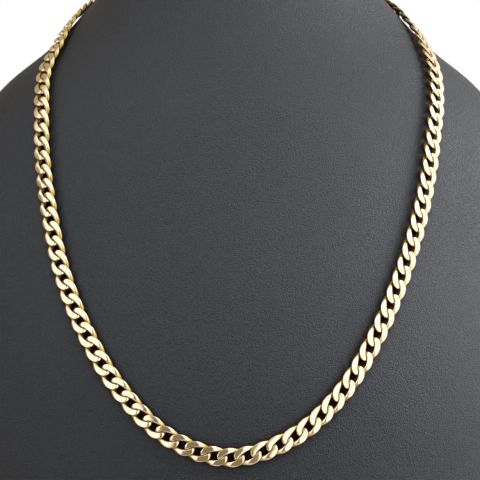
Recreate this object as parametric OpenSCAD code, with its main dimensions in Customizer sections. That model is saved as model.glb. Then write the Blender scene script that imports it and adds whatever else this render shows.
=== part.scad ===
// Flat curb chain laid round a plain neck bust.
// Sizes are millimetres and Z is up. The origin is the middle of the bust's base, and the bust faces -Y.
// The chain is a closed loop: two halves of interlocked links that meet at the bottom link,
// and a clasp behind the neck.

/* [Curb chain] */
// Distance from one link to the next
pitch = 5.67; // [5.6:0.01:5.72]
// Width of the chain across its links
chain_w = 6.6; // [6.4:0.1:6.8]
// Thickness of the chain over its two filed faces
chain_t = 1.8; // [1.7:0.05:2]
// Length of one link over its wire
link_l = 9.4; // [9.3:0.05:9.5]
// Length of the opening inside one link
hole_l = 5.96; // [5.92:0.02:6]
// Width of the opening inside one link
hole_w = 2.8; // [2.7:0.05:2.9]
// Depth of the wire before its faces are filed
wire_d = 1.6; // [1.4:0.05:1.6]
// Rise of a link's two raised corners above its middle plane
corner_rise = 1.2; // [1.18:0.01:1.25]
// Gap between the back of the chain and the leather
seat_gap = 0.3; // [0.2:0.05:0.6]

/* [Clasp] */
// Shortest stretch between the middles of the two end links
clasp_reach = 20.5; // [20:0.5:24]
// Width of the clasp's body
clasp_w = 5.6; // [5:0.1:6.4]
// Thickness of the clasp's body
clasp_t = 2.4; // [2:0.1:2.6]
// Wire of the two soldered end rings
ring_wire = 0.9; // [0.8:0.05:1]
// Inner diameter of the two soldered end rings
ring_bore = 2.9; // [2.8:0.1:3]

/* [Neck bust] */
// Height from the base to the flat top of the neck
bust_h = 300; // [290:1:310]
// Width over the shoulders
shoulder_w = 218; // [212:1:224]
// Radius of the rolled edge round the top of the neck
top_roll = 7; // [4:0.5:10]
// Radius of the small edge round the base
base_roll = 2.4; // [1:0.2:4]

/* [Hidden] */

// Level sections of the bust at its drawn size, each an oval with a shallower front and a deeper back.
// Columns: height, half width, front, widest, back. The last three are places along Y.
DRAWN_H = 300;
DRAWN_W = 218;
SECTIONS = [
    [  0,  92.0, -50.0,  0,  50],
    [ 30,  97.0, -54.0,  2,  54],
    [ 65, 103.0, -56.0,  4,  60],
    [100, 107.0, -54.0,  8,  66],
    [130, 109.0, -47.5, 14,  71],
    [155, 109.0, -39.0, 20,  75],
    [180, 106.0, -29.0, 26,  78],
    [198,  99.5, -21.0, 29,  80],
    [212,  88.0, -14.0, 31,  81],
    [225,  72.5,  -8.0, 33,  82],
    [240,  59.5,  -1.0, 39,  83],
    [252,  50.5,   4.0, 43,  85],
    [270,  43.0,   9.0, 48,  89],
    [300,  41.0,  13.0, 53,  95]
];
FRONT = 2;
WIDEST = 3;
BACK = 4;

// The chain's way round the bust: from behind the neck over the left shoulder, down the chest and back.
// Columns: angle round the bust from its front, height, lift off the leather, lean away from the throat.
ROUTE = [
    [-180.0, 250.0, 1.40,  0.0],
    [-155.0, 249.5, 1.10,  0.0],
    [-130.0, 248.0, 0.20,  0.0],
    [-108.0, 245.0, 0.00,  0.0],
    [ -90.0, 240.5, 0.10,  0.0],
    [ -76.0, 232.0, 0.40,  3.0],
    [ -58.0, 217.0, 0.50,  7.0],
    [ -46.0, 199.5, 0.60, 10.5],
    [ -41.0, 180.5, 0.60, 11.0],
    [ -37.5, 161.0, 0.45,  8.0],
    [ -34.0, 141.0, 0.25,  4.0],
    [ -29.0, 121.0, 0.10,  1.0],
    [ -22.5, 102.5, 0.00,  0.0],
    [ -13.5,  86.5, 0.00,  0.0],
    [  -2.0,  79.5, 0.00,  0.0],
    [   9.5,  86.0, 0.00,  0.0],
    [  18.5, 100.5, 0.00,  0.0],
    [  25.0, 119.0, 0.10,  1.0],
    [  30.0, 138.0, 0.20,  3.5],
    [  34.5, 158.0, 0.40,  7.0],
    [  38.5, 177.0, 0.55, 10.0],
    [  44.0, 196.5, 0.65, 12.0],
    [  55.5, 214.5, 0.60,  9.0],
    [  75.0, 230.0, 0.40,  4.0],
    [  90.0, 239.5, 0.10,  0.0],
    [ 108.0, 245.0, 0.00,  0.0],
    [ 130.0, 248.0, 0.20,  0.0],
    [ 155.0, 249.5, 1.10,  0.0]
];
// Station of the route at which the bottom link lies
BOTTOM_STATION = 14.03;
STEPS_PER_STATION = 16;

// Facets of the bust, of a link, of its wire, and of the clasp's rounds and ring wire
BUST_SIDES = 36;
LINK_SECTIONS = 10;
WIRE_SIDES = 6;
ROUND_SIDES = 40;
RING_WIRE_SIDES = 20;
// How early the wire reaches its full rise, coming from a link's end and from the middle of its side
END_HASTE = 2.2;
SIDE_HASTE = 0.8;

GOLD = [0.85, 0.7, 0.38];
BLACK_LEATHER = [0.2, 0.2, 0.21];
// Half of the step over which a direction is taken, in degrees or millimetres
TINY = 0.2;

// The bust's skin

function section_slope(i) =
    let (last = len(SECTIONS) - 1)
    let (a = SECTIONS[max(i - 1, 0)], b = SECTIONS[i], c = SECTIONS[min(i + 1, last)])
    let (h0 = b[0] - a[0], h1 = c[0] - b[0])
    i == 0 ? (c - b) / h1
    : i == last ? (b - a) / h0
    : ((b - a) / h0 * h1 + (c - b) / h1 * h0) / (h0 + h1);

SLOPES = [for (i = [0 : len(SECTIONS) - 1]) section_slope(i)];

// The section at a drawn height, by a smooth cubic between the table's rows
function section(z) =
    let (i = max([0, for (k = [0 : len(SECTIONS) - 2]) if (z >= SECTIONS[k][0]) k]))
    let (h = SECTIONS[i + 1][0] - SECTIONS[i][0], u = (z - SECTIONS[i][0]) / h)
    (2 * pow(u, 3) - 3 * pow(u, 2) + 1) * SECTIONS[i]
    + (pow(u, 3) - 2 * pow(u, 2) + u) * h * SLOPES[i]
    + (3 * pow(u, 2) - 2 * pow(u, 3)) * SECTIONS[i + 1]
    + (pow(u, 3) - pow(u, 2)) * h * SLOPES[i + 1];

// A point of the skin: angle round the bust from its front, drawn height, and a distance inwards
function skin(angle, z, inset = 0) =
    let (s = section(z), wide = shoulder_w / DRAWN_W)
    let (deep = cos(angle) >= 0 ? s[WIDEST] - s[FRONT] : s[BACK] - s[WIDEST])
    [(s[1] * wide - inset) * sin(angle), s[WIDEST] - (deep - inset) * cos(angle), z * bust_h / DRAWN_H];

function skin_normal(angle, z) =
    let (around = skin(angle + TINY, z) - skin(angle - TINY, z))
    let (upward = skin(angle, z + TINY) - skin(angle, z - TINY), n = cross(around, upward))
    n / norm(n);

// The chain's way round the bust

function route_row(k) = ROUTE[(k + len(ROUTE)) % len(ROUTE)] + [360 * floor(k / len(ROUTE)), 0, 0, 0];

// Angle, height, lift and lean at a station, by a smooth cubic through the route's rows
function route_at(station) =
    let (i = floor(station), u = station - i)
    let (a = route_row(i - 1), b = route_row(i), c = route_row(i + 1), d = route_row(i + 2))
    0.5 * (2 * b + (c - a) * u
        + (2 * a - 5 * b + 4 * c - d) * pow(u, 2)
        + (3 * b - a - 3 * c + d) * pow(u, 3));

// The middle of the chain at a station, the way out of the leather there, and the chain's lean
function track_at(station) =
    let (r = route_at(station), n = skin_normal(r[0], r[1]))
    [skin(r[0], r[1]) + (chain_t / 2 + seat_gap + r[2]) * n, n, r[3]];

TRACK_STEPS = len(ROUTE) * STEPS_PER_STATION;
TRACK = [for (i = [0 : TRACK_STEPS]) track_at(i / STEPS_PER_STATION)];
function track_step(i) = i < TRACK_STEPS ? norm(TRACK[i + 1][0] - TRACK[i][0]) : 0;

RUN = [for (i = 0, s = 0; i <= TRACK_STEPS; s = s + track_step(i), i = i + 1) s];
RUN_TO_STEP = [for (i = [0 : TRACK_STEPS]) [RUN[i], i]];
STEP_TO_RUN = [for (i = [0 : TRACK_STEPS]) [i, RUN[i]]];
LOOP_LENGTH = RUN[TRACK_STEPS];

// Place, outward direction and lean at a length along the loop
function track(run) =
    let (step = lookup((run + LOOP_LENGTH) % LOOP_LENGTH, RUN_TO_STEP), i = min(floor(step), TRACK_STEPS - 1))
    TRACK[i] + (step - i) * (TRACK[i + 1] - TRACK[i]);

// Frame of a piece of a given length at a run: X along the chain, Y across it, Z out of its face
function frame_at(run, reach) =
    let (here = track(run), p = here[0])
    let (chord = track(run + reach / 2)[0] - track(run - reach / 2)[0])
    let (x = chord / norm(chord))
    let (square = here[1] - (here[1] * x) * x, out = square / norm(square))
    let (z = cos(here[2]) * out - sin(here[2]) * cross(out, x), y = cross(z, x))
    [[x[0], y[0], z[0], p[0]], [x[1], y[1], z[1], p[1]], [x[2], y[2], z[2], p[2]], [0, 0, 0, 1]];

LINK_COUNT = floor((LOOP_LENGTH - clasp_reach) / pitch) + 1;
LEFT_COUNT = floor(LINK_COUNT / 2);
BOTTOM_RUN = lookup(BOTTOM_STATION * STEPS_PER_STATION, STEP_TO_RUN);
CLASP_SPAN = LOOP_LENGTH - (LINK_COUNT - 1) * pitch;

// Length along the loop of the middle of a link, counted from the bottom link to the right
function link_run(i) = BOTTOM_RUN + i * pitch;

// One link

// A step between -1 and 1 with soft ends
function soft_step(v) = (exp(2 * v) - 1) / (exp(2 * v) + 1);

function twist(turn) = soft_step(END_HASTE * sin(turn)) * soft_step(SIDE_HASTE * cos(turn));
TWIST_PEAK = max([for (turn = [0 : 90]) twist(turn)]);

// Outer and inner edge of the link from the front, both ovals
function outer_edge(turn) = [link_l / 2 * cos(turn), chain_w / 2 * sin(turn)];
function inner_edge(turn) = [hole_l / 2 * cos(turn), hole_w / 2 * sin(turn)];

// Middle of the wire: halfway between the edges, with the upper left and lower right corners raised
function wire_middle(turn) =
    let (level = (outer_edge(turn) + inner_edge(turn)) / 2)
    [level[0], level[1], -corner_rise * twist(turn) / TWIST_PEAK];

// One section of the wire, cut flat where it stands above or below the filed faces
function wire_ring(turn) =
    let (middle = wire_middle(turn), run = wire_middle(turn + TINY) - wire_middle(turn - TINY))
    let (across = outer_edge(turn) - inner_edge(turn), wide = norm(across))
    let (side = [across[0], across[1], 0] / wide, square = cross(side, run))
    let (up = square / norm(square), rise = up[2] < 0 ? -up : up)
    [for (k = [0 : WIRE_SIDES - 1])
        let (a = k * 360 / WIRE_SIDES, p = middle + wide / 2 * cos(a) * side + wire_d / 2 * sin(a) * rise)
        [p[0], p[1], max(-chain_t / 2, min(chain_t / 2, p[2]))]];

LINK_POINTS = [for (i = [0 : LINK_SECTIONS - 1]) each wire_ring(i * 360 / LINK_SECTIONS)];

// Triangles of a tube that closes on itself round both ways
function torus_faces(rings, sides) =
    [for (i = [0 : rings - 1], k = [0 : sides - 1])
        let (j = (i + 1) % rings, m = (k + 1) % sides)
        let (a = i * sides + k, b = i * sides + m, c = j * sides + k, d = j * sides + m)
        each [[a, b, c], [b, d, c]]];

LINK_FACES = torus_faces(LINK_SECTIONS, WIRE_SIDES);

module curb_link() {
    polyhedron(LINK_POINTS, LINK_FACES, convexity = 4);
}

module links(first, last) {
    for (i = [first : last])
        multmatrix(frame_at(link_run(i), pitch))
            curb_link();
}

// Links from the clasp down the left side, up to the one beside the bottom link
module chain_left() {
    color(GOLD)
        links(-LEFT_COUNT, -1);
}

// The bottom link and those up the right side to the clasp
module chain_right() {
    color(GOLD)
        links(0, LINK_COUNT - LEFT_COUNT - 1);
}

// The clasp

CLASP_RUN = link_run(LINK_COUNT - LEFT_COUNT - 1) + CLASP_SPAN / 2;
CLASP_FRAME = frame_at(CLASP_RUN, CLASP_SPAN);

function direction(frame, column) = [for (row = [0 : 2]) frame[row][column]];

// Middle of the end wire of an end link, in the clasp's own frame
function end_wire(link, side) =
    let (f = frame_at(link_run(link), pitch), to_wire = side * (link_l + hole_l) / 4)
    let (p = direction(f, 3) + to_wire * direction(f, 0) - direction(CLASP_FRAME, 3))
    [for (axis = [0 : 2]) p * direction(CLASP_FRAME, axis)];

HOOK_END = end_wire(LINK_COUNT - LEFT_COUNT - 1, 1);
EYE_END = end_wire(-LEFT_COUNT, -1);
RING_R = ring_bore / 2 + ring_wire / 2;
// How far a ring bites into the body that it is soldered to
RING_BITE = 0.5;
BODY_FROM = HOOK_END[0] + RING_R + ring_wire / 2 - RING_BITE;
BODY_TO = EYE_END[0] - RING_R - ring_wire / 2 + RING_BITE;
// How far the body stands out of the line of the rings, to clear the round of the neck
BODY_STANDOFF = 0.35;
BODY_LEVEL = (HOOK_END[2] + EYE_END[2]) / 2 + BODY_STANDOFF;
HOOK_R = clasp_w / 2;
// Size of the body's narrow end against its hook end
EYE_SHARE = 0.72;
EYE_R = HOOK_R * EYE_SHARE;
// Rim left round the window of the hook, and the window's narrow end and length as shares of the body
WINDOW_RIM = 1.5;
WINDOW_R = HOOK_R - WINDOW_RIM;
WINDOW_NARROWING = 0.6;
WINDOW_SHARE = 0.5;

// A bar with round ends of two sizes, on the level
module round_bar(x0, r0, x1, r1) {
    translate([x0, 0])
        circle(r0, $fn = ROUND_SIDES);
    translate([x1, 0])
        circle(r1, $fn = ROUND_SIDES);
    polygon([[x0, -r0], [x1, -r1], [x1, r1], [x0, r0]]);
}

// A ring standing on edge round an end link's wire
module end_ring(place) {
    translate(place)
        rotate([90, 0, 0])
            rotate_extrude($fn = ROUND_SIDES)
                translate([RING_R, 0])
                    circle(ring_wire / 2, $fn = RING_WIRE_SIDES);
}

module clasp() {
    hook_x = BODY_FROM + HOOK_R;
    eye_x = BODY_TO - EYE_R;
    window_end = hook_x + (eye_x - hook_x) * WINDOW_SHARE;
    color(GOLD)
        multmatrix(CLASP_FRAME) {
            translate([0, (HOOK_END[1] + EYE_END[1]) / 2, BODY_LEVEL - clasp_t / 2])
                linear_extrude(clasp_t)
                    difference() {
                        round_bar(hook_x, HOOK_R, eye_x, EYE_R);
                        round_bar(hook_x, WINDOW_R, window_end, WINDOW_R * WINDOW_NARROWING);
                    }
            end_ring(HOOK_END);
            end_ring(EYE_END);
        }
}

// The neck bust

// Rings up the bust, each a drawn height and a distance inwards: the base edge, the form and the rolled top
BASE_EDGE = [for (a = [0 : 45 : 45]) [base_roll * (1 - cos(a)), base_roll * (1 - sin(a))]];
FORM_RINGS = [for (z = [6, 20, 40, 60, 80, 100, 118, 135, 150, 164, 176, 186, 194, 201, 207, 213, 219, 225,
                        231, 237, 243, 249, 256, 264, 274, 284]) [z, 0]];
TOP_EDGE = [for (a = [0 : 22.5 : 90]) [DRAWN_H - top_roll * (1 - sin(a)), top_roll * (1 - cos(a))]];
BUST_RINGS = concat(BASE_EDGE, [[base_roll, 0]], FORM_RINGS, TOP_EDGE);

module neck_bust() {
    rings = len(BUST_RINGS);
    sides = BUST_SIDES;
    points = [for (r = BUST_RINGS, k = [0 : sides - 1]) skin(k * 360 / sides, r[0], r[1])];
    walls = [for (i = [0 : rings - 2], k = [0 : sides - 1])
        let (m = (k + 1) % sides, a = i * sides + k, b = i * sides + m)
        each [[a, a + sides, b], [b, a + sides, b + sides]]];
    base = [for (k = [0 : sides - 1]) k];
    top = [for (k = [sides - 1 : -1 : 0]) (rings - 1) * sides + k];
    color(BLACK_LEATHER)
        polyhedron(points, concat(walls, [base, top]), convexity = 4);
}

neck_bust();
chain_left();
chain_right();
clasp();
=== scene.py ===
"""Looks of a flat curb chain laid round a plain black leatherette neck bust.

The bust's form, the chain's way round it and the clasp's places follow the same named sizes as the part's
source. Sizes are millimetres until a mesh is made, and Z is up.
"""

import logging
import math
from dataclasses import dataclass, field
from enum import Enum

import bpy
import numpy as np
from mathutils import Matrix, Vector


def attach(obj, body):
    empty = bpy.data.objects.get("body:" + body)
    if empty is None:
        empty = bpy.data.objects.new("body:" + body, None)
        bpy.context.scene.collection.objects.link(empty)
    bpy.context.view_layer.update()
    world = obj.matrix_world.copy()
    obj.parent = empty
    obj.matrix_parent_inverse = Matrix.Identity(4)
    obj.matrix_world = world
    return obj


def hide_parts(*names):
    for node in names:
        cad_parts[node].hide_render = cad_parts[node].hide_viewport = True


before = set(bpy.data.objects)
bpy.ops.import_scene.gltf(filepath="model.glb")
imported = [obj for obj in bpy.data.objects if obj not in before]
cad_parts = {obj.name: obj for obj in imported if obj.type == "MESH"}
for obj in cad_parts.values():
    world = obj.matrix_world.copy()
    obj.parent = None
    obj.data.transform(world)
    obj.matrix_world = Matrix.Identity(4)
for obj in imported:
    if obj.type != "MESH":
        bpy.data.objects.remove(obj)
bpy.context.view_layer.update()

LOG = logging.getLogger("curb_chain")
MM = 0.001

# Short names for the types that repeat
Array = np.ndarray
Material = bpy.types.Material
Piece = bpy.types.Object
Tree = bpy.types.NodeTree
Socket = bpy.types.NodeSocket
Node = bpy.types.Node
Colour = tuple[float, float, float, float]
Triple = tuple[float, float, float]
Pair = tuple[float, float]
FULL: Pair = (0.0, 1.0)

# Level sections of the bust: height, half width, front, widest, back. The last three are places along Y.
BUST_SECTIONS = (
    (0, 92, -50, 0, 50),
    (30, 97, -54, 2, 54),
    (65, 103, -56, 4, 60),
    (100, 107, -54, 8, 66),
    (130, 109, -47.5, 14, 71),
    (155, 109, -39, 20, 75),
    (180, 106, -29, 26, 78),
    (198, 99.5, -21, 29, 80),
    (212, 88, -14, 31, 81),
    (225, 72.5, -8, 33, 82),
    (240, 59.5, -1, 39, 83),
    (252, 50.5, 4, 43, 85),
    (270, 43, 9, 48, 89),
    (300, 41, 13, 53, 95),
)

# The chain's way round the bust: angle from the front, height, lift off the leather, lean from the throat.
CHAIN_ROUTE = (
    (-180, 250, 1.4, 0),
    (-155, 249.5, 1.1, 0),
    (-130, 248, 0.2, 0),
    (-108, 245, 0, 0),
    (-90, 240.5, 0.1, 0),
    (-76, 232, 0.4, 3),
    (-58, 217, 0.5, 7),
    (-46, 199.5, 0.6, 10.5),
    (-41, 180.5, 0.6, 11),
    (-37.5, 161, 0.45, 8),
    (-34, 141, 0.25, 4),
    (-29, 121, 0.1, 1),
    (-22.5, 102.5, 0, 0),
    (-13.5, 86.5, 0, 0),
    (-2, 79.5, 0, 0),
    (9.5, 86, 0, 0),
    (18.5, 100.5, 0, 0),
    (25, 119, 0.1, 1),
    (30, 138, 0.2, 3.5),
    (34.5, 158, 0.4, 7),
    (38.5, 177, 0.55, 10),
    (44, 196.5, 0.65, 12),
    (55.5, 214.5, 0.6, 9),
    (75, 230, 0.4, 4),
    (90, 239.5, 0.1, 0),
    (108, 245, 0, 0),
    (130, 248, 0.2, 0),
    (155, 249.5, 1.1, 0),
)


class Slot(Enum):
    """The record's material slots."""

    LEATHERETTE = "leatherette"
    GOLD = "gold"


# Mesh helpers


def unit(vectors: Array) -> Array:
    """Vectors of length one along the last axis."""
    return vectors / np.maximum(np.linalg.norm(vectors, axis=-1, keepdims=True), 1e-12)


def signed_power(values: Array, exponent: float) -> Array:
    """Values to a power, keeping their signs."""
    return np.sign(values) * np.abs(values) ** exponent


def grid_faces(rows: int, columns: int, wrap_rows: bool, wrap_columns: bool) -> Array:
    """Quads of a grid of points stored row by row.

    Args:
        rows: Number of rows.
        columns: Number of points in a row.
        wrap_rows: Whether the last row joins the first.
        wrap_columns: Whether each row closes on itself.

    Returns:
        Corner numbers, four to a face.
    """
    i = np.arange(rows if wrap_rows else rows - 1)[:, None]
    k = np.arange(columns if wrap_columns else columns - 1)[None, :]
    i2, k2 = (i + 1) % rows, (k + 1) % columns
    quads = [i * columns + k, i2 * columns + k, i2 * columns + k2, i * columns + k2]
    return np.stack(quads, axis=-1).reshape(-1, 4)


@dataclass
class Surface:
    """Points and faces of one closed surface, with values at its points.

    Attributes:
        points: One row a point, in millimetres.
        quads: Four corner numbers a row.
        triangles: Three corner numbers a row.
        values: Named values, one a point, that a material reads.
    """

    points: Array
    quads: Array
    triangles: Array = field(default_factory=lambda: np.zeros((0, 3), int))
    values: dict[str, Array] = field(default_factory=dict)

    def outwards(self) -> "Surface":
        """The same surface with its faces turned outwards, where its signed volume is positive."""
        q, t = self.points[self.quads], self.points[self.triangles]
        fans = np.concatenate([q[:, [0, 1, 2]], q[:, [0, 2, 3]], t])
        if np.sum(fans[:, 0] * np.cross(fans[:, 1], fans[:, 2])) < 0:
            self.quads = self.quads[:, ::-1].copy()
            self.triangles = self.triangles[:, ::-1].copy()
        return self

    def normals(self, weight: float) -> Array:
        """Normals at the points, each the mean of its faces' normals by their area to a power.

        Args:
            weight: Power of the area. More keeps a large flat face flat up to its edge.

        Returns:
            One unit vector a point.
        """
        total = np.zeros_like(self.points)
        for faces in (self.quads, self.triangles):
            p = self.points[faces]
            cross = np.cross(p[:, 2] - p[:, 0], p[:, -1] - p[:, 1])
            area = np.linalg.norm(cross, axis=1, keepdims=True)
            pull = unit(cross) * area**weight
            for corner in range(faces.shape[1]):
                np.add.at(total, faces[:, corner], pull)
        return unit(total)


def joined(parts: list[Surface]) -> Surface:
    """Several surfaces as one, which stay separate shells."""
    starts = np.cumsum([0] + [len(s.points) for s in parts[:-1]])
    return Surface(
        np.concatenate([s.points for s in parts]),
        np.concatenate([s.quads + a for s, a in zip(parts, starts)]),
        np.concatenate([s.triangles + a for s, a in zip(parts, starts)]),
        {n: np.concatenate([s.values[n] for s in parts]) for n in parts[0].values},
    )


def capped(rings: Array) -> Surface:
    """A surface over rings of points, closed at both ends on a pole in the ring's middle.

    Args:
        rings: Points, ring by ring.

    Returns:
        The closed surface, faces outwards. Its two last points are the poles.
    """
    rows, columns = rings.shape[:2]
    k = np.arange(columns)
    k2, last, pole = (k + 1) % columns, (rows - 1) * columns, rows * columns
    near = np.stack([np.full_like(k, pole), k, k2], axis=1)
    far = np.stack([np.full_like(k, pole + 1), last + k2, last + k], axis=1)
    points = np.concatenate([rings.reshape(-1, 3), [rings[0].mean(axis=0), rings[-1].mean(axis=0)]])
    return Surface(points, grid_faces(rows, columns, False, True), np.concatenate([near, far])).outwards()


def make_object(name: str, surface: Surface, material: Material, weight: float = 1.0) -> Piece:
    """A shown object at the origin with its place in its mesh.

    Args:
        name: Name of the piece.
        surface: Its surface, in millimetres.
        material: Its finish.
        weight: Power of the area in the points' normals.

    Returns:
        The object, linked to the scene and shaded smooth.
    """
    mesh = bpy.data.meshes.new(name)
    quads, triangles = surface.quads, surface.triangles
    corners = np.concatenate([quads.ravel(), triangles.ravel()]).astype(np.int32)
    sizes = np.concatenate([np.full(len(quads), 4), np.full(len(triangles), 3)])
    starts = np.concatenate([[0], np.cumsum(sizes)[:-1]]).astype(np.int32)
    mesh.vertices.add(len(surface.points))
    mesh.vertices.foreach_set("co", (surface.points * MM).astype(np.float32).ravel())
    mesh.loops.add(len(corners))
    mesh.loops.foreach_set("vertex_index", corners)
    mesh.polygons.add(len(sizes))
    mesh.polygons.foreach_set("loop_start", starts)
    mesh.polygons.foreach_set("use_smooth", np.ones(len(sizes), bool))
    mesh.update(calc_edges=True)
    for key, values in surface.values.items():
        attribute = mesh.attributes.new(key, "FLOAT", "POINT")
        attribute.data.foreach_set("value", values.astype(np.float32))
    mesh.validate()
    mesh.normals_split_custom_set_from_vertices(surface.normals(weight).tolist())
    mesh.materials.append(material)
    piece = bpy.data.objects.new(name, mesh)
    bpy.context.scene.collection.objects.link(piece)
    return piece


# Forms


@dataclass
class BustForm:
    """The skin of the neck bust: level ovals with a shallower front and a deeper back.

    Attributes:
        sections: Rows of height, half width, front, widest and back.
    """

    sections: tuple[tuple[float, ...], ...] = BUST_SECTIONS

    def section(self, z: Array) -> Array:
        """Section at a height: a cubic through the table's rows.

        Between two rows the cubic meets both with the slope there, which is the mean of the slopes on its two
        sides, each weighted by the other side's height.

        Args:
            z: Heights.

        Returns:
            Height, half width, front, widest and back, for each height.
        """
        rows = np.array(self.sections, float)
        step = np.diff(rows[:, 0])
        grade = np.diff(rows, axis=0) / step[:, None]
        slopes = np.concatenate([grade[:1], np.zeros((len(rows) - 2, rows.shape[1])), grade[-1:]])
        h0, h1 = step[:-1, None], step[1:, None]
        slopes[1:-1] = (grade[:-1] * h1 + grade[1:] * h0) / (h0 + h1)
        i = np.clip(np.searchsorted(rows[:, 0], z, side="right") - 1, 0, len(rows) - 2)
        h = step[i][..., None]
        u = ((z - rows[i, 0]) / step[i])[..., None]
        return (
            (2 * u**3 - 3 * u**2 + 1) * rows[i]
            + (u**3 - 2 * u**2 + u) * h * slopes[i]
            + (3 * u**2 - 2 * u**3) * rows[i + 1]
            + (u**3 - u**2) * h * slopes[i + 1]
        )

    def skin(self, angle: Array, z: Array, inset: Array | float = 0.0) -> Array:
        """Points of the skin: X is the half width times the sine, Y the widest place less the depth times the
        cosine of the angle.

        Args:
            angle: Degrees round the bust from its front.
            z: Heights.
            inset: Distance inwards.

        Returns:
            Points, one for each angle and height.
        """
        s = self.section(z)
        a = np.radians(angle)
        depth = np.where(np.cos(a) >= 0, s[..., 3] - s[..., 2], s[..., 4] - s[..., 3])
        x = (s[..., 1] - inset) * np.sin(a)
        y = s[..., 3] - (depth - inset) * np.cos(a)
        return np.stack([x, y, z + 0 * x], axis=-1)

    def normal(self, angle: Array, z: Array, step: float = 0.2) -> Array:
        """Unit vectors out of the skin: the cross product of a step round it and a step up it."""
        around = self.skin(angle + step, z) - self.skin(angle - step, z)
        upward = self.skin(angle, z + step) - self.skin(angle, z - step)
        return unit(np.cross(around, upward))


@dataclass
class ChainSizes:
    """Sizes of the chain and its clasp."""

    pitch: float = 5.67
    width: float = 6.6
    thickness: float = 1.8
    link_length: float = 9.4
    hole_length: float = 5.9
    hole_width: float = 2.8
    wire_depth: float = 1.8
    corner_rise: float = 1.15
    seat_gap: float = 0.3
    clasp_reach: float = 20.5
    clasp_width: float = 5.6
    clasp_thickness: float = 2.4
    ring_wire: float = 0.9
    ring_bore: float = 2.9


@dataclass
class ChainLoop:
    """The closed line that the middle of the chain follows, and where each link lies on it.

    Attributes:
        form: The skin that the chain lies on.
        sizes: The chain's sizes.
        route: Rows of angle, height, lift and lean.
        bottom_station: Place of the bottom link in rows of the route.
        steps: Points of the line for each row.
    """

    form: BustForm
    sizes: ChainSizes
    route: tuple[tuple[float, ...], ...] = CHAIN_ROUTE
    bottom_station: float = 14.03
    steps: int = 16

    def __post_init__(self) -> None:
        """Works out the line once: its points, the way out of the leather, and the length so far."""
        stations = np.arange(len(self.route) * self.steps + 1) / self.steps
        angle, z, lift, lean = self.route_at(stations).T
        out = self.form.normal(angle, z)
        rise = self.sizes.thickness / 2 + self.sizes.seat_gap + lift
        self.points = self.form.skin(angle, z) + rise[:, None] * out
        self.out, self.lean = out, np.radians(lean)
        gaps = np.linalg.norm(np.diff(self.points, axis=0), axis=1)
        self.run = np.concatenate([[0.0], np.cumsum(gaps)])
        self.length = float(self.run[-1])
        bottom = self.bottom_station * self.steps
        self.bottom_run = float(np.interp(bottom, np.arange(len(self.run)), self.run))
        self.count = math.floor((self.length - self.sizes.clasp_reach) / self.sizes.pitch) + 1
        self.left_count = self.count // 2
        self.clasp_span = self.length - (self.count - 1) * self.sizes.pitch

    def route_at(self, station: Array) -> Array:
        """Angle, height, lift and lean at a station, by a cubic whose slope at a row is half the step between
        the rows on its two sides."""
        rows = np.array(self.route)
        turn = np.array([360.0, 0.0, 0.0, 0.0])
        i = np.floor(station).astype(int)
        u = (station - i)[:, None]
        a, b, c, d = (
            rows[(i + k) % len(rows)] + ((i + k) // len(rows))[:, None] * turn for k in (-1, 0, 1, 2)
        )
        return 0.5 * (
            2 * b + (c - a) * u + (2 * a - 5 * b + 4 * c - d) * u**2 + (3 * b - a - 3 * c + d) * u**3
        )

    def at(self, run: Array) -> tuple[Array, Array, Array]:
        """Points of the line, directions out of the leather, and leans, at lengths along it."""
        r = np.mod(run, self.length)
        place = np.stack([np.interp(r, self.run, self.points[:, k]) for k in range(3)], axis=-1)
        out = np.stack([np.interp(r, self.run, self.out[:, k]) for k in range(3)], axis=-1)
        return place, out, np.interp(r, self.run, self.lean)

    def frames(self, run: Array, reach: float) -> tuple[Array, Array]:
        """Frames of pieces at lengths along the line.

        X is the chord over the piece's reach. Z is the way out of the leather made square to it, then turned
        about it by the lean. Y lies across.

        Args:
            run: Lengths along the line.
            reach: Length of a piece.

        Returns:
            Places, and turns whose columns are X, Y and Z.
        """
        place, out, lean = self.at(run)
        x = unit(self.at(run + reach / 2)[0] - self.at(run - reach / 2)[0])
        upright = unit(out - np.sum(out * x, axis=-1, keepdims=True) * x)
        z = np.cos(lean)[..., None] * upright - np.sin(lean)[..., None] * np.cross(upright, x)
        return place, np.stack([x, np.cross(z, x), z], axis=-1)

    def link_run(self, number: Array) -> Array:
        """Length along the line of each link, counted from the bottom link to the right."""
        return self.bottom_run + number * self.sizes.pitch


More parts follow.
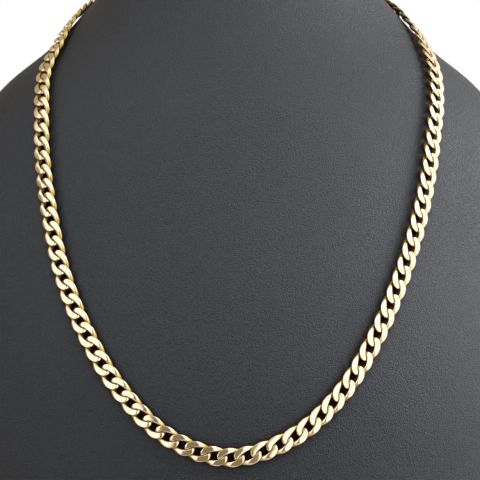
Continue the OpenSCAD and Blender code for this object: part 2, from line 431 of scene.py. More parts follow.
@dataclass
class CurbLink:
    """One link: a twisted oval of wire with two filed flat faces.

    Attributes:
        sizes: The chain's sizes.
        sections: Sections round the link.
        hole_squareness: Squareness of its opening: 2 is an oval, less is more pointed.
        end_haste: How early the wire reaches its full rise, coming from a link's end.
        side_haste: The same, coming from the middle of its side.
        around: Points round the wire.
        edge: Sharpness of a filed edge, where more leaves a flatter face.
        dome: Share of the thickness that the faces lose at the chain's edge, in a soft dome across it.
        wall_shade: Painted shade on the wire's underside in the chain's hollows.
        outer_shade: The greatest painted shade on the wire's outer side.
        seam_shade: Painted shade that a touch of the next link adds.
        seam_reach: How far from the next link that ends.
    """

    sizes: ChainSizes
    sections: int = 30
    hole_squareness: float = 1.5
    end_haste: float = 2.2
    side_haste: float = 1.0
    around: int = 20
    edge: float = 3.5
    dome: float = 0.16
    wall_shade: float = 0.85
    outer_shade: float = 0.7
    seam_shade: float = 1.3
    seam_reach: float = 0.5

    def edges(self, turn: Array) -> tuple[Array, Array]:
        """Outer and inner edge of the link from the front: an oval round a pointed oval."""
        s, e = self.sizes, 2 / self.hole_squareness
        c, d = np.cos(turn), np.sin(turn)
        outer = np.stack([s.link_length / 2 * c, s.width / 2 * d], axis=-1)
        inner = [s.hole_length / 2 * signed_power(c, e), s.hole_width / 2 * signed_power(d, e)]
        return outer, np.stack(inner, axis=-1)

    def twist(self, turn: Array) -> Array:
        """Rise of the wire: a soft step of the sine of the turn times a soft step of its cosine."""
        return np.tanh(self.end_haste * np.sin(turn)) * np.tanh(self.side_haste * np.cos(turn))

    def middle(self, turn: Array) -> Array:
        """Middle of the wire: halfway between the edges, with two opposite corners raised."""
        outer, inner = self.edges(turn)
        peak = self.twist(np.radians(np.arange(91))).max()
        z = -self.sizes.corner_rise * self.twist(turn) / peak
        return np.concatenate([(outer + inner) / 2, z[:, None]], axis=1)

    def surface(self) -> Surface:
        """The link's surface, with painted shade at each point from how deep it lies in the chain's hollows.

        Each section is an ellipse across the wire. Its heights are then held softly between the two filed
        faces: a height over the half thickness is divided by the root, of the edge's degree, of one plus its
        power. The half thickness falls with the square of the distance from the chain's line.

        Returns:
            A closed surface in the link's own frame.
        """
        s = self.sizes
        half_d, half_t = s.wire_depth / 2, s.thickness / 2
        turn = np.radians((np.arange(self.sections) + 0.5) * 360 / self.sections)
        angle = np.radians(np.arange(self.around) * 360 / self.around)
        small = 2e-3
        along = self.middle(turn + small) - self.middle(turn - small)
        outer, inner = self.edges(turn)
        across = np.concatenate([(outer - inner) / 2, np.zeros((len(turn), 1))], axis=1)
        rise = unit(np.cross(across, along))
        rise *= np.where(rise[:, 2:] < 0, -half_d, half_d)
        c, d = np.cos(angle)[None, :, None], np.sin(angle)[None, :, None]
        points = self.middle(turn)[:, None] + c * across[:, None] + d * rise[:, None]
        domed_t = half_t * (1 - self.dome * (points[..., 1] / (s.width / 2)) ** 2)
        level = points[..., 2] / domed_t
        points[..., 2] = domed_t * level / (1 + np.abs(level) ** self.edge) ** (1 / self.edge)
        # Painted shade: more on the wire's low side, held lower on its outer side, and more near the next
        # link.
        low = np.clip(0.5 - points[..., 2] / (2 * half_t), 0, 1)
        inward = np.clip(-c[..., 0], 0, 1)
        limit = self.outer_shade + (1 - self.outer_shade) * inward
        flat = points.reshape(-1, 3)
        painted_recess_shade = np.minimum(self.wall_shade * low, limit).ravel() + self.seam_shade * self.crevice(flat)
        values = {"painted_recess_shade": np.clip(painted_recess_shade, 0, 1)}
        return Surface(flat, grid_faces(self.sections, self.around, True, True), values=values).outwards()

    def crevice(self, points: Array) -> Array:
        """How near each point lies to a neighbouring link: one at a touch, nought past the seam's reach."""
        step = np.array([self.sizes.pitch, 0.0, 0.0])
        others = np.concatenate([points + step, points - step])
        nearest = np.linalg.norm(points[:, None] - others[None], axis=-1).min(axis=1)
        return np.clip(1 - nearest / self.seam_reach, 0, 1)


# Shader node groups

# Where a noise's values mostly lie, and the fine noise's scale against the broad one's.
NOISE_SPAN: Pair = (0.3, 0.7)
FINE_SHARE = 14.0

# Scale and share of the height of each size of the pebble grain's mounds, and of the grit on top.
MOUNDS: tuple[Pair, ...] = ((1.0, 0.65), (1.7, 0.35))
GRIT: Pair = (2.2, 0.25)


@dataclass
class NodeBuilder:
    """Short calls to add and join the shader nodes of one tree."""

    tree: Tree

    def add(self, kind: str, inputs: dict | None = None, **settings: object) -> Node:
        """Adds a node.

        Args:
            kind: Blender's name of the node type.
            inputs: Values or sockets for its inputs, by name or number.
            settings: Properties of the node.

        Returns:
            The node.
        """
        node = self.tree.nodes.new(kind)
        for key, value in settings.items():
            setattr(node, key, value)
        self.feed(node, inputs or {})
        return node

    def feed(self, node: Node, inputs: dict) -> None:
        """Joins sockets to a node's inputs, or sets plain values there, by name or number."""
        for key, value in inputs.items():
            if isinstance(value, Socket):
                self.tree.links.new(value, node.inputs[key])
            else:
                node.inputs[key].default_value = value

    def math(self, operation: str, *values: object, clamp: bool = False) -> Socket:
        """Result of a math node on sockets or numbers."""
        inputs = dict(enumerate(values))
        return self.add("ShaderNodeMath", inputs, operation=operation, use_clamp=clamp).outputs[0]

    def ranged(self, value: object, span: Pair, to: Pair = FULL) -> Socket:
        """Maps a value from one range to another, held at its ends."""
        ends = {"From Min": span[0], "From Max": span[1], "To Min": to[0], "To Max": to[1]}
        return self.add("ShaderNodeMapRange", {"Value": value, **ends}, clamp=True).outputs["Result"]

    def placed(self, group: Tree, inputs: dict) -> bpy.types.bpy_prop_collection:
        """Outputs of a node group placed with its own values."""
        return self.add("ShaderNodeGroup", inputs, node_tree=group).outputs

    def mixed(self, share: object, a: object, b: object) -> Socket:
        """Colour between two colours by a share."""
        return self.add("ShaderNodeMix", {0: share, 6: a, 7: b}, data_type="RGBA").outputs[2]


def new_group(
    name: str, inputs: dict[str, float | None], outputs: tuple[str, ...]
) -> tuple[Tree, NodeBuilder, Node, Node]:
    """An empty node group with named sockets.

    Args:
        name: The group's name.
        inputs: First value of each number it takes, or None for a vector.
        outputs: Names of the values that it puts out.

    Returns:
        The group, its builder, and its input and output nodes.
    """
    group = bpy.data.node_groups.new(name, "ShaderNodeTree")
    for key, value in inputs.items():
        kind = "NodeSocketVector" if value is None else "NodeSocketFloat"
        socket = group.interface.new_socket(key, in_out="INPUT", socket_type=kind)
        if value is not None:
            socket.default_value = value
    for key in outputs:
        group.interface.new_socket(key, in_out="OUTPUT", socket_type="NodeSocketFloat")
    build = NodeBuilder(group)
    return group, build, build.add("NodeGroupInput"), build.add("NodeGroupOutput")


def variation_group() -> Tree:
    """Soft cloudy differences over a surface: a broad noise and a fine one."""
    inputs, outputs = {"Vector": None, "Scale": 60.0}, ("Broad", "Fine")
    group, build, given, result = new_group("handling_variation", inputs, outputs)
    vector, scale = given.outputs["Vector"], given.outputs["Scale"]
    finer = build.math("MULTIPLY", scale, FINE_SHARE)
    coarse = {"Vector": vector, "Scale": scale, "Detail": 3.0, "Roughness": 0.55}
    broad = build.add("ShaderNodeTexNoise", coarse).outputs[0]
    fine = build.add("ShaderNodeTexNoise", {"Vector": vector, "Scale": finer, "Detail": 4.0}).outputs[0]
    build.feed(result, {"Broad": build.ranged(broad, NOISE_SPAN), "Fine": build.ranged(fine, NOISE_SPAN)})
    return group


def pebble_group() -> Tree:
    """Pebble grain: small rounded mounds of two sizes between soft creases, with a fine grit on top."""
    inputs, outputs = {"Vector": None, "Cells": 1500.0}, ("Height", "Crease", "Grit")
    group, build, given, result = new_group("pebble_grain", inputs, outputs)
    vector, cells = given.outputs["Vector"], given.outputs["Cells"]
    mounds = []
    for size, share in MOUNDS:
        scale = build.math("MULTIPLY", cells, size)
        inputs = {"Vector": vector, "Scale": scale, "Smoothness": 0.35, "Randomness": 0.9}
        cell = build.add("ShaderNodeTexVoronoi", inputs, feature="SMOOTH_F1")
        mound = build.ranged(cell.outputs["Distance"], (0.15, 0.75), (1.0, 0.0))
        mounds.append(build.math("MULTIPLY", mound, share))
    finer = build.math("MULTIPLY", cells, GRIT[0])
    grit = build.add("ShaderNodeTexNoise", {"Vector": vector, "Scale": finer, "Detail": 2.0}).outputs[0]
    both = build.math("ADD", *mounds)
    height = build.math("ADD", both, build.math("MULTIPLY", grit, GRIT[1]))
    crease = build.ranged(both, (0.25, 0.6), (1.0, 0.0))
    build.feed(result, {"Height": height, "Crease": crease, "Grit": build.ranged(grit, NOISE_SPAN)})
    return group


# Finishes


def emptied(owner: Material | bpy.types.World) -> NodeBuilder:
    """Starts afresh on the node tree of a material or of the surroundings."""
    owner.use_nodes = True
    owner.node_tree.nodes.clear()
    return NodeBuilder(owner.node_tree)


def new_material(name: str) -> tuple[Material, NodeBuilder, Node]:
    """An empty material with its Principled shader joined to its output."""
    material = bpy.data.materials.new(name)
    build = emptied(material)
    shader = build.add("ShaderNodeBsdfPrincipled")
    build.add("ShaderNodeOutputMaterial", {"Surface": shader.outputs[0]})
    return material, build, shader


@dataclass(frozen=True)
class Leatherette:
    """Black leatherette with a fine pebble grain and a satin skin, with painted shade in the grain's creases
    and a painted dark brown shade under the chain.
    """

    colour: Colour = (0.024, 0.0245, 0.026, 1)
    # The grain's creases are darkened with painted shade.
    crease_shade_colour: Colour = (0.003, 0.003, 0.0034, 1)
    # Colour of the painted shade under the chain.
    shade_colour: Colour = (0.016, 0.006, 0.0015, 1)
    cells: float = 2300.0
    grain_depth: float = 0.00015
    crease_shade: float = 0.3
    crease_dulling: float = 0.12
    cloud_scale: float = 26.0
    roughness: Pair = (0.37, 0.47)
    specular: float = 0.25
    specular_tint: Colour = (0.95, 0.98, 1.03, 1)

    def material(self, variation: Tree, pebble: Tree) -> Material:
        """Builds the material from the shared groups."""
        material, build, shader = new_material("black_leatherette")
        where = build.add("ShaderNodeTexCoord").outputs["Object"]
        grain = build.placed(pebble, {"Vector": where, "Cells": self.cells})
        clouds = build.placed(variation, {"Vector": where, "Scale": self.cloud_scale})
        # Painted shade in the grain's creases, with the grit's random tone added on top.
        hollow = build.math("MULTIPLY", grain["Crease"], self.crease_shade)
        tone = build.math("ADD", hollow, grain["Grit"], clamp=True)
        # Painted shade under the chain: the leather turns dark brown there.
        shade = build.add("ShaderNodeAttribute", attribute_name="painted_chain_shade").outputs["Fac"]
        colour = build.mixed(tone, self.colour, self.crease_shade_colour)
        colour = build.mixed(shade, colour, self.shade_colour)
        rough = build.ranged(clouds["Broad"], FULL, self.roughness)
        dulling = build.math("MULTIPLY", grain["Crease"], self.crease_dulling)
        rough = build.math("ADD", rough, dulling)
        inputs = {"Height": grain["Height"], "Distance": self.grain_depth, "Strength": 1.0}
        normal = build.add("ShaderNodeBump", inputs).outputs[0]
        # The painted shade under the chain also goes to Metallic, so that no matt light is left there.
        build.feed(shader, {"Base Color": colour, "Roughness": rough, "Metallic": shade, "Normal": normal})
        build.feed(shader, {"Specular IOR Level": self.specular, "Specular Tint": self.specular_tint})
        return material


@dataclass(frozen=True)
class PolishedGold:
    """Pale polished gold: filed faces with fine scratches, walls made yellower by a painted reflection of the
    gold, and hollows made dark by painted shade and duller.

    A span gives the depths over which one colour turns into the next.
    """

    colour: Colour = (1.0, 0.8, 0.54, 1)
    # Painted reflection of the gold on the links' walls, and painted shade in their hollows.
    painted_wall_bounce: Colour = (0.75, 0.55, 0.13, 1)
    wall_bounce_span: Pair = (0.18, 0.4)
    hollow_shade_colour: Colour = (0.16, 0.1, 0.02, 1)
    hollow_shade_span: Pair = (0.4, 0.85)
    roughness: Pair = (0.05, 0.11)
    hollow_dulling: float = 0.3
    cloud_scale: float = 420.0
    unevenness: float = 0.2
    scratch_depth: float = 0.0000035
    scratch_strength: float = 0.5

    def material(self, variation: Tree) -> Material:
        """Builds the material from the shared groups."""
        material, build, shader = new_material("polished_gold")
        where = build.add("ShaderNodeTexCoord").outputs["Object"]
        # Painted shade from the hollows: a painted yellow reflection on the walls, and painted dark shade
        # deeper in.
        painted_recess_shade = build.add("ShaderNodeAttribute", attribute_name="painted_recess_shade").outputs["Fac"]
        clouds = build.placed(variation, {"Vector": where, "Scale": self.cloud_scale})
        uneven = build.math("MULTIPLY", build.math("SUBTRACT", clouds["Broad"], 0.5), self.unevenness)
        deep = build.math("ADD", painted_recess_shade, build.math("MULTIPLY", uneven, painted_recess_shade), clamp=True)
        colour = build.mixed(build.ranged(deep, self.wall_bounce_span), self.colour, self.painted_wall_bounce)
        colour = build.mixed(build.ranged(deep, self.hollow_shade_span), colour, self.hollow_shade_colour)
        dulling = build.math("MULTIPLY", deep, self.hollow_dulling)
        rough = build.math("ADD", build.ranged(clouds["Fine"], FULL, self.roughness), dulling)
        inputs = {"Height": clouds["Fine"], "Distance": self.scratch_depth, "Strength": self.scratch_strength}
        normal = build.add("ShaderNodeBump", inputs).outputs[0]
        build.feed(shader, {"Base Color": colour, "Roughness": rough, "Normal": normal, "Metallic": 1.0})
        return material


@dataclass(frozen=True)
class PaleFloor:
    """Plain pale studio floor with a faint unevenness."""

    colour: Colour = (0.86, 0.86, 0.86, 1)
    shade: Colour = (0.82, 0.82, 0.82, 1)
    roughness: Pair = (0.55, 0.65)
    cloud_scale: float = 3.0

    def material(self, variation: Tree) -> Material:
        """Builds the material from the shared groups."""
        material, build, shader = new_material("pale_floor")
        where = build.add("ShaderNodeTexCoord").outputs["Object"]
        clouds = build.placed(variation, {"Vector": where, "Scale": self.cloud_scale})
        colour = build.mixed(clouds["Broad"], self.colour, self.shade)
        rough = build.ranged(clouds["Fine"], FULL, self.roughness)
        build.feed(shader, {"Base Color": colour, "Roughness": rough})
        return material


# Sub-assemblies


@dataclass
class NeckBust:
    """The neck bust, covered in leatherette.

    Attributes:
        loop: The chain that lies on it, whose form is its skin.
        columns: Points round it.
        rows: Points up it.
        top_roll: Radius of the rolled edge round the neck's top.
        base_roll: Radius of the small edge round the base.
        edge_rows: Points over each rolled edge.
        cap_rings: Rings of each flat end.
        hide_inset: How far the skin lies inside the part's own, to keep its rounds in the same box.
        shade: Distances from the chain's line at which the shade starts to fall and ends.
    """

    loop: ChainLoop
    columns: int = 260
    rows: int = 220
    top_roll: float = 7.0
    base_roll: float = 2.4
    edge_rows: int = 8
    cap_rings: int = 5
    hide_inset: float = 0.12
    # shade: Distances from the chain's line at which the painted shade starts to fall and ends.
    shade: Pair = (2.4, 4.4)

    def surface(self) -> Surface:
        """The closed skin: rows up the form between two rolled edges, and flat ends that close on a pole."""
        form = self.loop.form
        height = form.sections[-1][0]
        quarter = np.radians(np.linspace(0, 90, self.edge_rows))
        base_z, base_in = self.base_roll * (1 - np.cos(quarter)), self.base_roll * (1 - np.sin(quarter))
        top_z = height - self.top_roll * (1 - np.sin(quarter))
        top_in = self.top_roll * (1 - np.cos(quarter))
        wall = np.linspace(self.base_roll, height - self.top_roll, self.rows)[1:-1]
        z = np.concatenate([base_z, wall, top_z])
        inset = self.hide_inset + np.concatenate([base_in, np.zeros(len(wall)), top_in])
        angle = np.arange(self.columns) * 360 / self.columns
        rings = form.skin(angle[None, :], z[:, None] + 0 * angle[None, :], inset[:, None])
        share = np.linspace(0, 1, self.cap_rings + 1)[1:-1][:, None, None]
        low, high = rings[0], rings[-1]
        low_cap = (low + (low.mean(axis=0) - low) * share)[::-1]
        high_cap = high + (high.mean(axis=0) - high) * share
        cover = capped(np.concatenate([low_cap, rings, high_cap]))
        # Painted shade under the chain, kept at the points for the leather to read.
        cover.values["painted_chain_shade"] = self.painted_chain_shade(cover.points)
        return cover

    def painted_chain_shade(self, points: Array) -> Array:
        """Painted shade of the chain on the leather: one close to the chain's line, falling to nought further
        off.

        The square of the distance between two points is the sum of their squares less twice their product.
        """
        line = self.loop.points
        square = (points**2).sum(axis=1)[:, None] + (line**2).sum(axis=1)[None, :] - 2 * points @ line.T
        near, far = self.shade
        return np.clip((far - np.sqrt(np.maximum(square.min(axis=1), 0))) / (far - near), 0, 1)

    def build(self, leather: Material) -> list[Piece]:
        """Makes the bust and dresses it."""
        piece = make_object("bust_cover", self.surface(), leather)
        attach(piece, "root")
        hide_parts("neck_bust")
        return [piece]


@dataclass
class CurbChain:
    """The two halves of the chain.

    Attributes:
        loop: The line that it follows.
        link: The shape of one link.
        play: Largest turn of a link about the chain's line, in degrees.
        seed: Start of the row of small turns.
        flatness: Power of the area in the links' normals, which keeps their faces flat.
    """

    loop: ChainLoop
    link: CurbLink
    play: float = 1.0
    seed: int = 7
    flatness: float = 1.5

    def half(self, first: int, last: int) -> Surface:
        """The links of one half, each the same surface turned and placed by its frame.

        Args:
            first: Number of the first link, counted from the bottom one.
            last: Number of the last link.

        Returns:
            Separate closed shells in one surface.
        """
        numbers = np.arange(first, last + 1)
        place, turn = self.loop.frames(self.loop.link_run(numbers), self.loop.sizes.pitch)
        draws = np.random.default_rng(self.seed).uniform(-1, 1, self.loop.count)
        roll = np.radians(self.play) * draws[numbers + self.loop.left_count]
        c, s = np.cos(roll)[:, None], np.sin(roll)[:, None]
        y, z = turn[..., 1], turn[..., 2]
        turn = np.stack([turn[..., 0], c * y + s * z, c * z - s * y], axis=-1)
        one = self.link.surface()
        points = np.einsum("nij,pj->npi", turn, one.points) + place[:, None]
        count, size = len(numbers), len(one.points)
        starts = (np.arange(count) * size)[:, None, None]
        return Surface(
            points.reshape(-1, 3),
            (one.quads[None] + starts).reshape(-1, 4),
            values={key: np.tile(v, count) for key, v in one.values.items()},
        )

    def build(self, gold: Material) -> list[Piece]:
        """Makes both halves and dresses them."""
        left = self.loop.left_count
        halves = {"chain_left": self.half(-left, -1), "chain_right": self.half(0, self.loop.count - left - 1)}
        pieces = []
        for node, surface in halves.items():
            piece = make_object(node + "_links", surface, gold, self.flatness)
            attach(piece, "root")
            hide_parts(node)
            pieces.append(piece)
        return pieces


@dataclass
class ClawClasp:
    """The claw clasp behind the neck: a hook round a window, a sprung lever with its knob, two end rings.

    Attributes:
        loop: The chain's line, whose last stretch the clasp closes.
        ring_bite: How far a ring reaches into the body.
        standoff: How far the body stands out of the line of the rings.
        rim: Width of the hook round its window.
        eye_share: Size of the narrow end against the hook's end.
        window_narrowing: Size of the window's narrow end against its wide end.
        window_share: Length of the window as a share of the body's.
        mouth: Angles about the window's middle between which the lever closes the hook.
        lever_ends: Degrees by which the lever starts before the mouth and stops short.
        slack: Gap at the lever's tip and faces.
        knob: Half sizes of the thumb knob along, across and through.
        knob_angle: Degrees from the mouth's start to the knob.
        knob_sink: How far its middle lies inside the outline.
        squareness: Power of a section's sines: 1 is an ellipse, less is squarer.
        painted_recess_shade: Painted shade given to all of the clasp, which sets the gold's colour there.
    """

    loop: ChainLoop
    ring_bite: float = 0.5
    standoff: float = 0.35
    rim: float = 1.5
    eye_share: float = 0.72
    window_narrowing: float = 0.6
    window_share: float = 0.5
    mouth: Pair = (38.0, 140.0)
    lever_ends: Pair = (14.0, 3.0)
    slack: float = 0.14
    knob: Triple = (0.85, 0.6, 0.9)
    knob_angle: float = 28.0
    knob_sink: float = 0.2
    squareness: float = 0.6
    painted_recess_shade: float = 0.1

    def __post_init__(self) -> None:
        """Works out the clasp's frame and, in it, the rings' places and the body's ends."""
        loop, s = self.loop, self.loop.sizes
        last = loop.count - loop.left_count - 1
        run = loop.link_run(np.array([last])) + loop.clasp_span / 2
        place, turn = loop.frames(run, loop.clasp_span)
        self.place, self.turn = place[0], turn[0]
        self.hook_end, self.eye_end = self.end_wire(last, 1), self.end_wire(-loop.left_count, -1)
        self.ring_radius = (s.ring_bore + s.ring_wire) / 2
        reach = self.ring_radius + s.ring_wire / 2 - self.ring_bite
        self.hook_radius = s.clasp_width / 2
        self.eye_radius = self.hook_radius * self.eye_share
        self.hook_x = self.hook_end[0] + reach + self.hook_radius
        self.eye_x = self.eye_end[0] - reach - self.eye_radius
        middle = (self.hook_end + self.eye_end) / 2
        self.window_end = self.hook_x + (self.eye_x - self.hook_x) * self.window_share
        self.centre = np.array([(self.hook_x + self.window_end) / 2, middle[1], middle[2] + self.standoff])

    def end_wire(self, link: int, side: int) -> Array:
        """Middle of an end link's last wire, in the clasp's frame."""
        s = self.loop.sizes
        place, turn = self.loop.frames(self.loop.link_run(np.array([link])), s.pitch)
        wire = place[0] + side * (s.link_length + s.hole_length) / 4 * turn[0][:, 0]
        return (wire - self.place) @ self.turn

    def reach(self, angle: Array, x0: float, r0: float, x1: float, r1: float) -> Array:
        """Distance from the window's middle to the outline of a bar with round ends.

        A ray leaves each end's circle at the larger root of its quadratic, and leaves the straight side where
        its height equals the bar's half width. The outline is the farthest of the three.

        Args:
            angle: Directions of the rays, in radians.
            x0: Middle of the first round end.
            r0: Its radius.
            x1: Middle of the second round end.
            r1: Its radius.

        Returns:
            Distances, one for each ray.
        """
        c, d, cx = np.cos(angle), np.abs(np.sin(angle)), self.centre[0]
        distances = []
        for x, r in ((x0, r0), (x1, r1)):
            b = c * (cx - x)
            root = b**2 - (cx - x) ** 2 + r**2
            distances.append(np.where(root > 0, np.sqrt(np.maximum(root, 0)) - b, 0))
        grade = (r1 - r0) / (x1 - x0)
        side = (r0 + grade * (cx - x0)) / np.maximum(d - grade * c, 1e-6)
        inside = (cx + side * c > x0) & (cx + side * c < x1)
        distances.append(np.where(inside, side, 0))
        return np.max(distances, axis=0)

    def band(self, start: float, stop: float, inset: float, rows: int = 90, columns: int = 28) -> Surface:
        """A stretch of the body between its outline and its window, with softly squared sections.

        Towards each end the section shrinks along a quarter circle, which rounds the end.

        Args:
            start: First angle about the window's middle, in degrees.
            stop: Last angle.
            inset: How far its sides lie inside the body's.
            rows: Number of sections.
            columns: Points round a section.

        Returns:
            A closed surface in the clasp's frame.
        """
        share = np.linspace(0.004, 0.996, rows)
        angle = np.radians(start + (stop - start) * share)
        outer = self.reach(angle, self.hook_x, self.hook_radius, self.eye_x, self.eye_radius) - inset
        window = self.hook_radius - self.rim
        narrow = window * self.window_narrowing
        inner = self.reach(angle, self.hook_x, window, self.window_end, narrow) + inset
        round_share = 0.45 * self.rim / (self.hook_radius * math.radians(stop - start))
        to_end = np.clip(np.minimum(share, 1 - share) / round_share, 0, 1)
        size = np.sqrt(1 - (1 - to_end) ** 2)[:, None]
        turn = np.arange(columns) * 2 * np.pi / columns
        across = signed_power(np.cos(turn), self.squareness)
        through = signed_power(np.sin(turn), self.squareness)
        middle, half = (outer + inner)[:, None] / 2, (outer - inner)[:, None] / 2
        radius = middle + half * size * across
        thick = (self.loop.sizes.clasp_thickness / 2 - inset) * size * through
        rings = np.stack([radius * np.cos(angle)[:, None], radius * np.sin(angle)[:, None], thick], axis=-1)
        return capped(rings + self.centre)

    def end_ring(self, place: Array, rows: int = 48, columns: int = 16) -> Surface:
        """A round ring on edge at a place: a circle of wire carried round a circle."""
        around = np.arange(rows)[:, None] * 2 * np.pi / rows
        wire = np.arange(columns)[None, :] * 2 * np.pi / columns
        thick = self.loop.sizes.ring_wire / 2
        radius = self.ring_radius + thick * np.cos(wire)
        rings = [radius * np.cos(around), thick * np.sin(wire) + 0 * around, radius * np.sin(around)]
        points = np.stack(rings, axis=-1).reshape(-1, 3) + place
        return Surface(points, grid_faces(rows, columns, True, True)).outwards()

    def thumb_knob(self) -> Surface:
        """A rounded knob on the lever's outer side: an ellipsoid between its two poles."""
        tilt = np.radians(np.linspace(-84, 84, 15))[:, None]
        turn = np.arange(24)[None, :] * 2 * np.pi / 24
        ball = [np.cos(tilt) * np.cos(turn), np.sin(tilt) + 0 * turn, np.cos(tilt) * np.sin(turn)]
        angle = np.radians(np.array([self.mouth[0] + self.knob_angle]))
        outline = self.reach(angle, self.hook_x, self.hook_radius, self.eye_x, self.eye_radius)[0]
        way = np.array([math.cos(angle[0]), math.sin(angle[0]), 0.0])
        place = self.centre + (outline - self.knob_sink) * way
        return capped(np.stack(ball, axis=-1) * np.array(self.knob) + place)

    def build(self, gold: Material) -> list[Piece]:
        """Makes the clasp as one piece and dresses it."""
        (low, high), (before, short) = self.mouth, self.lever_ends
        parts = [
            self.band(high, low + 360, 0.0),
            self.band(low - before, high - short, self.slack),
            self.thumb_knob(),
            self.end_ring(self.hook_end),
            self.end_ring(self.eye_end),
        ]
        # One low painted shade over all of the clasp.
        for part in parts:
            part.values["painted_recess_shade"] = np.full(len(part.points), self.painted_recess_shade)
        whole = joined(parts)
        whole.points = whole.points @ self.turn.T + self.place
        piece = make_object("claw_clasp", whole, gold)
        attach(piece, "root")
        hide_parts("clasp")
        return [piece]


# Studio


@dataclass(frozen=True)
class Softbox:
    """A large soft white light: its place, the point that it faces, its size and its strength."""

    name: str
    place: Triple
    towards: Triple
    size: Pair
    watts: float

    def build(self, lit: bpy.types.Collection) -> None:
        """Adds the light, which the camera doesn't see.

        Args:
            lit: The matt surfaces that it lights. Polished metal mirrors the tent's panels instead.
        """
        light = bpy.data.lights.new(self.name, "AREA")
        light.shape = "RECTANGLE"
        light.size, light.size_y = self.size
        light.energy = self.watts
        lamp = bpy.data.objects.new(self.name, light)
        lamp.location = self.place
        aim = Vector(self.towards) - Vector(self.place)
        lamp.rotation_mode = "QUATERNION"
        lamp.rotation_quaternion = aim.to_track_quat("-Z", "Y")
        lamp.visible_camera = False
        lamp.light_linking.receiver_collection = lit
        bpy.context.scene.collection.objects.link(lamp)


@dataclass(frozen=True)
class TentPanel:
    """A bright panel of the tent round the object, an oval that may wrap round behind it.

    Attributes:
        middle: Its middle's way from the object along X and Z.
        half: Its half sizes along X and Z.
        blur: Softness of its rim as a share of its size.
        strength: Its brightness.
        wrap: Where it ends behind the object, as two steps along Y from full to nothing.
    """

    middle: Pair
    half: Pair
    blur: float
    strength: float
    wrap: Pair = (0.0, 0.25)


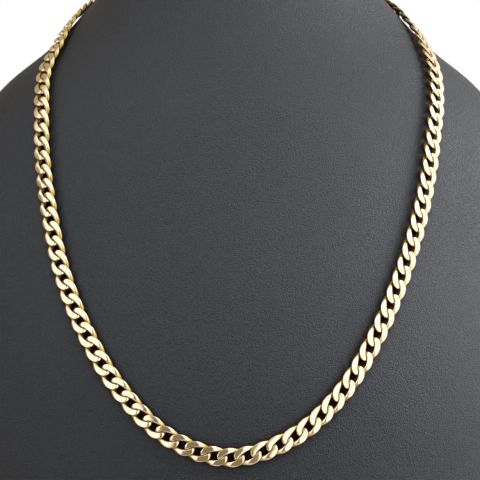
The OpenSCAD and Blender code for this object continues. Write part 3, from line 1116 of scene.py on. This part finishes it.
@dataclass
class Studio:
    """Floor, lights, surroundings and camera, in metres, with the sensor in millimetres."""

    camera_place: Triple = (0.0, -0.657, 0.152)
    picture_pixels: int = 480
    metres_per_pixel: float = 0.000333
    subject_distance: float = 0.6
    sensor: float = 36.0
    floor_half: float = 3.0
    floor_drop: float = 0.00005
    floor_ticks: int = 9
    room_span: Pair = (-0.1, 0.3)
    room_strength: Pair = (0.205, 0.4)
    dim_tint: Colour = (1.12, 0.98, 0.76, 1)
    lit_tint: Colour = (0.94, 0.99, 1.09, 1)
    panels: tuple[TentPanel, ...] = (
        TentPanel((0.66, 0.15), (0.59, 0.85), 0.1, 1.15, (0.1, 1.2)),
        TentPanel((-0.6, 0.25), (0.3, 0.65), 0.1, 1.05),
        TentPanel((-0.1, 0.66), (0.5, 0.42), 0.15, 0.28),
        TentPanel((0.5, 0.78), (0.4, 0.3), 0.3, 1.1),
        TentPanel((-0.1, -0.74), (0.6, 0.42), 0.15, 0.38),
    )
    softboxes: tuple[Softbox, ...] = (
        Softbox("key_right", (1.15, -0.15, 0.75), (0.0, 0.0, 0.2), (0.7, 0.8), 33.0),
        Softbox("fill_left", (-0.95, -0.45, 0.45), (0.0, 0.0, 0.14), (0.5, 0.8), 4.6),
        Softbox("top", (0.0, -0.4, 1.2), (0.0, 0.0, 0.2), (0.8, 0.5), 7.2),
    )

    def build(self, floor_material: Material, matt: list[Piece]) -> None:
        """Makes everything that isn't part of the object.

        Args:
            floor_material: The floor's finish.
            matt: The object's matt pieces, which the softboxes light.
        """
        lit = bpy.data.collections.new("lit_by_softboxes")
        for piece in [self.floor(floor_material), *matt]:
            lit.objects.link(piece)
        for box in self.softboxes:
            box.build(lit)
        self.surroundings()
        self.camera()

    def floor(self, material: Material) -> Piece:
        """A plain pale floor just under the object, which the polished links don't mirror."""
        ticks = np.linspace(-self.floor_half, self.floor_half, self.floor_ticks) / MM
        x, y = np.meshgrid(ticks, ticks)
        points = np.stack([x, y, 0 * x - self.floor_drop / MM], axis=-1).reshape(-1, 3)
        faces = grid_faces(self.floor_ticks, self.floor_ticks, False, False)[:, ::-1]
        floor = make_object("floor", Surface(points, faces), material)
        floor.visible_glossy = False
        return floor

    def surroundings(self) -> None:
        """A white backdrop, and a room, warm where it is dim and cooler on the tent's bright oval panels."""
        world = bpy.data.worlds.new("studio")
        bpy.context.scene.world = world
        build = emptied(world)
        way = build.add("ShaderNodeTexCoord").outputs["Generated"]
        split = build.add("ShaderNodeSeparateXYZ", {0: way}).outputs
        strength = build.ranged(split["Y"], self.room_span, self.room_strength)
        panels = 0.0
        for panel in self.panels:
            reach = None
            for axis, middle, half in zip("XZ", panel.middle, panel.half):
                offset = build.math("DIVIDE", build.math("SUBTRACT", split[axis], middle), half)
                square = build.math("MULTIPLY", offset, offset)
                reach = square if reach is None else build.math("ADD", reach, square)
            lit = build.ranged(reach, (1 - panel.blur, 1 + panel.blur), (panel.strength, 0.0))
            here = build.ranged(split["Y"], panel.wrap, (1.0, 0.0))
            panels = build.math("ADD", panels, build.math("MULTIPLY", lit, here))
        tint = build.mixed(build.ranged(panels, FULL), self.dim_tint, self.lit_tint)
        strength = build.math("ADD", strength, panels)
        room = build.add("ShaderNodeBackground", {"Color": tint, "Strength": strength})
        white = build.add("ShaderNodeBackground", {"Color": (1, 1, 1, 1)})
        seen = build.add("ShaderNodeLightPath").outputs["Is Camera Ray"]
        mix = build.add("ShaderNodeMixShader", {0: seen, 1: room.outputs[0], 2: white.outputs[0]})
        build.add("ShaderNodeOutputWorld", {"Surface": mix.outputs[0]})

    def camera(self) -> None:
        """A level camera at the photograph's angle and distance."""
        data = bpy.data.cameras.new("camera")
        data.sensor_width = self.sensor
        data.lens = self.sensor * self.subject_distance / (self.picture_pixels * self.metres_per_pixel)
        camera = bpy.data.objects.new("camera", data)
        camera.location = self.camera_place
        camera.rotation_euler = (math.pi / 2, 0.0, 0.0)
        bpy.context.scene.collection.objects.link(camera)
        bpy.context.scene.camera = camera
        bpy.context.scene.view_settings.view_transform = "Standard"


def report(pieces: list[Piece]) -> None:
    """Logs each piece's name, faces and material."""
    for piece in pieces:
        LOG.info("%s: %d faces, %s", piece.name, len(piece.data.polygons), piece.data.materials[0].name)


def main() -> None:
    """Builds the bust, the chain, the clasp and the studio in order."""
    logging.basicConfig(level=logging.INFO, format="%(message)s")
    variation = variation_group()
    leather = Leatherette().material(variation, pebble_group())
    gold = PolishedGold().material(variation)
    sizes = ChainSizes()
    loop = ChainLoop(BustForm(), sizes)
    LOG.info("loop %.1f mm, %d links", loop.length, loop.count)
    cover = NeckBust(loop).build(leather)
    report(cover)
    report(CurbChain(loop, CurbLink(sizes)).build(gold))
    report(ClawClasp(loop).build(gold))
    Studio().build(PaleFloor().material(variation), cover)


if __name__ == "__main__":
    main()
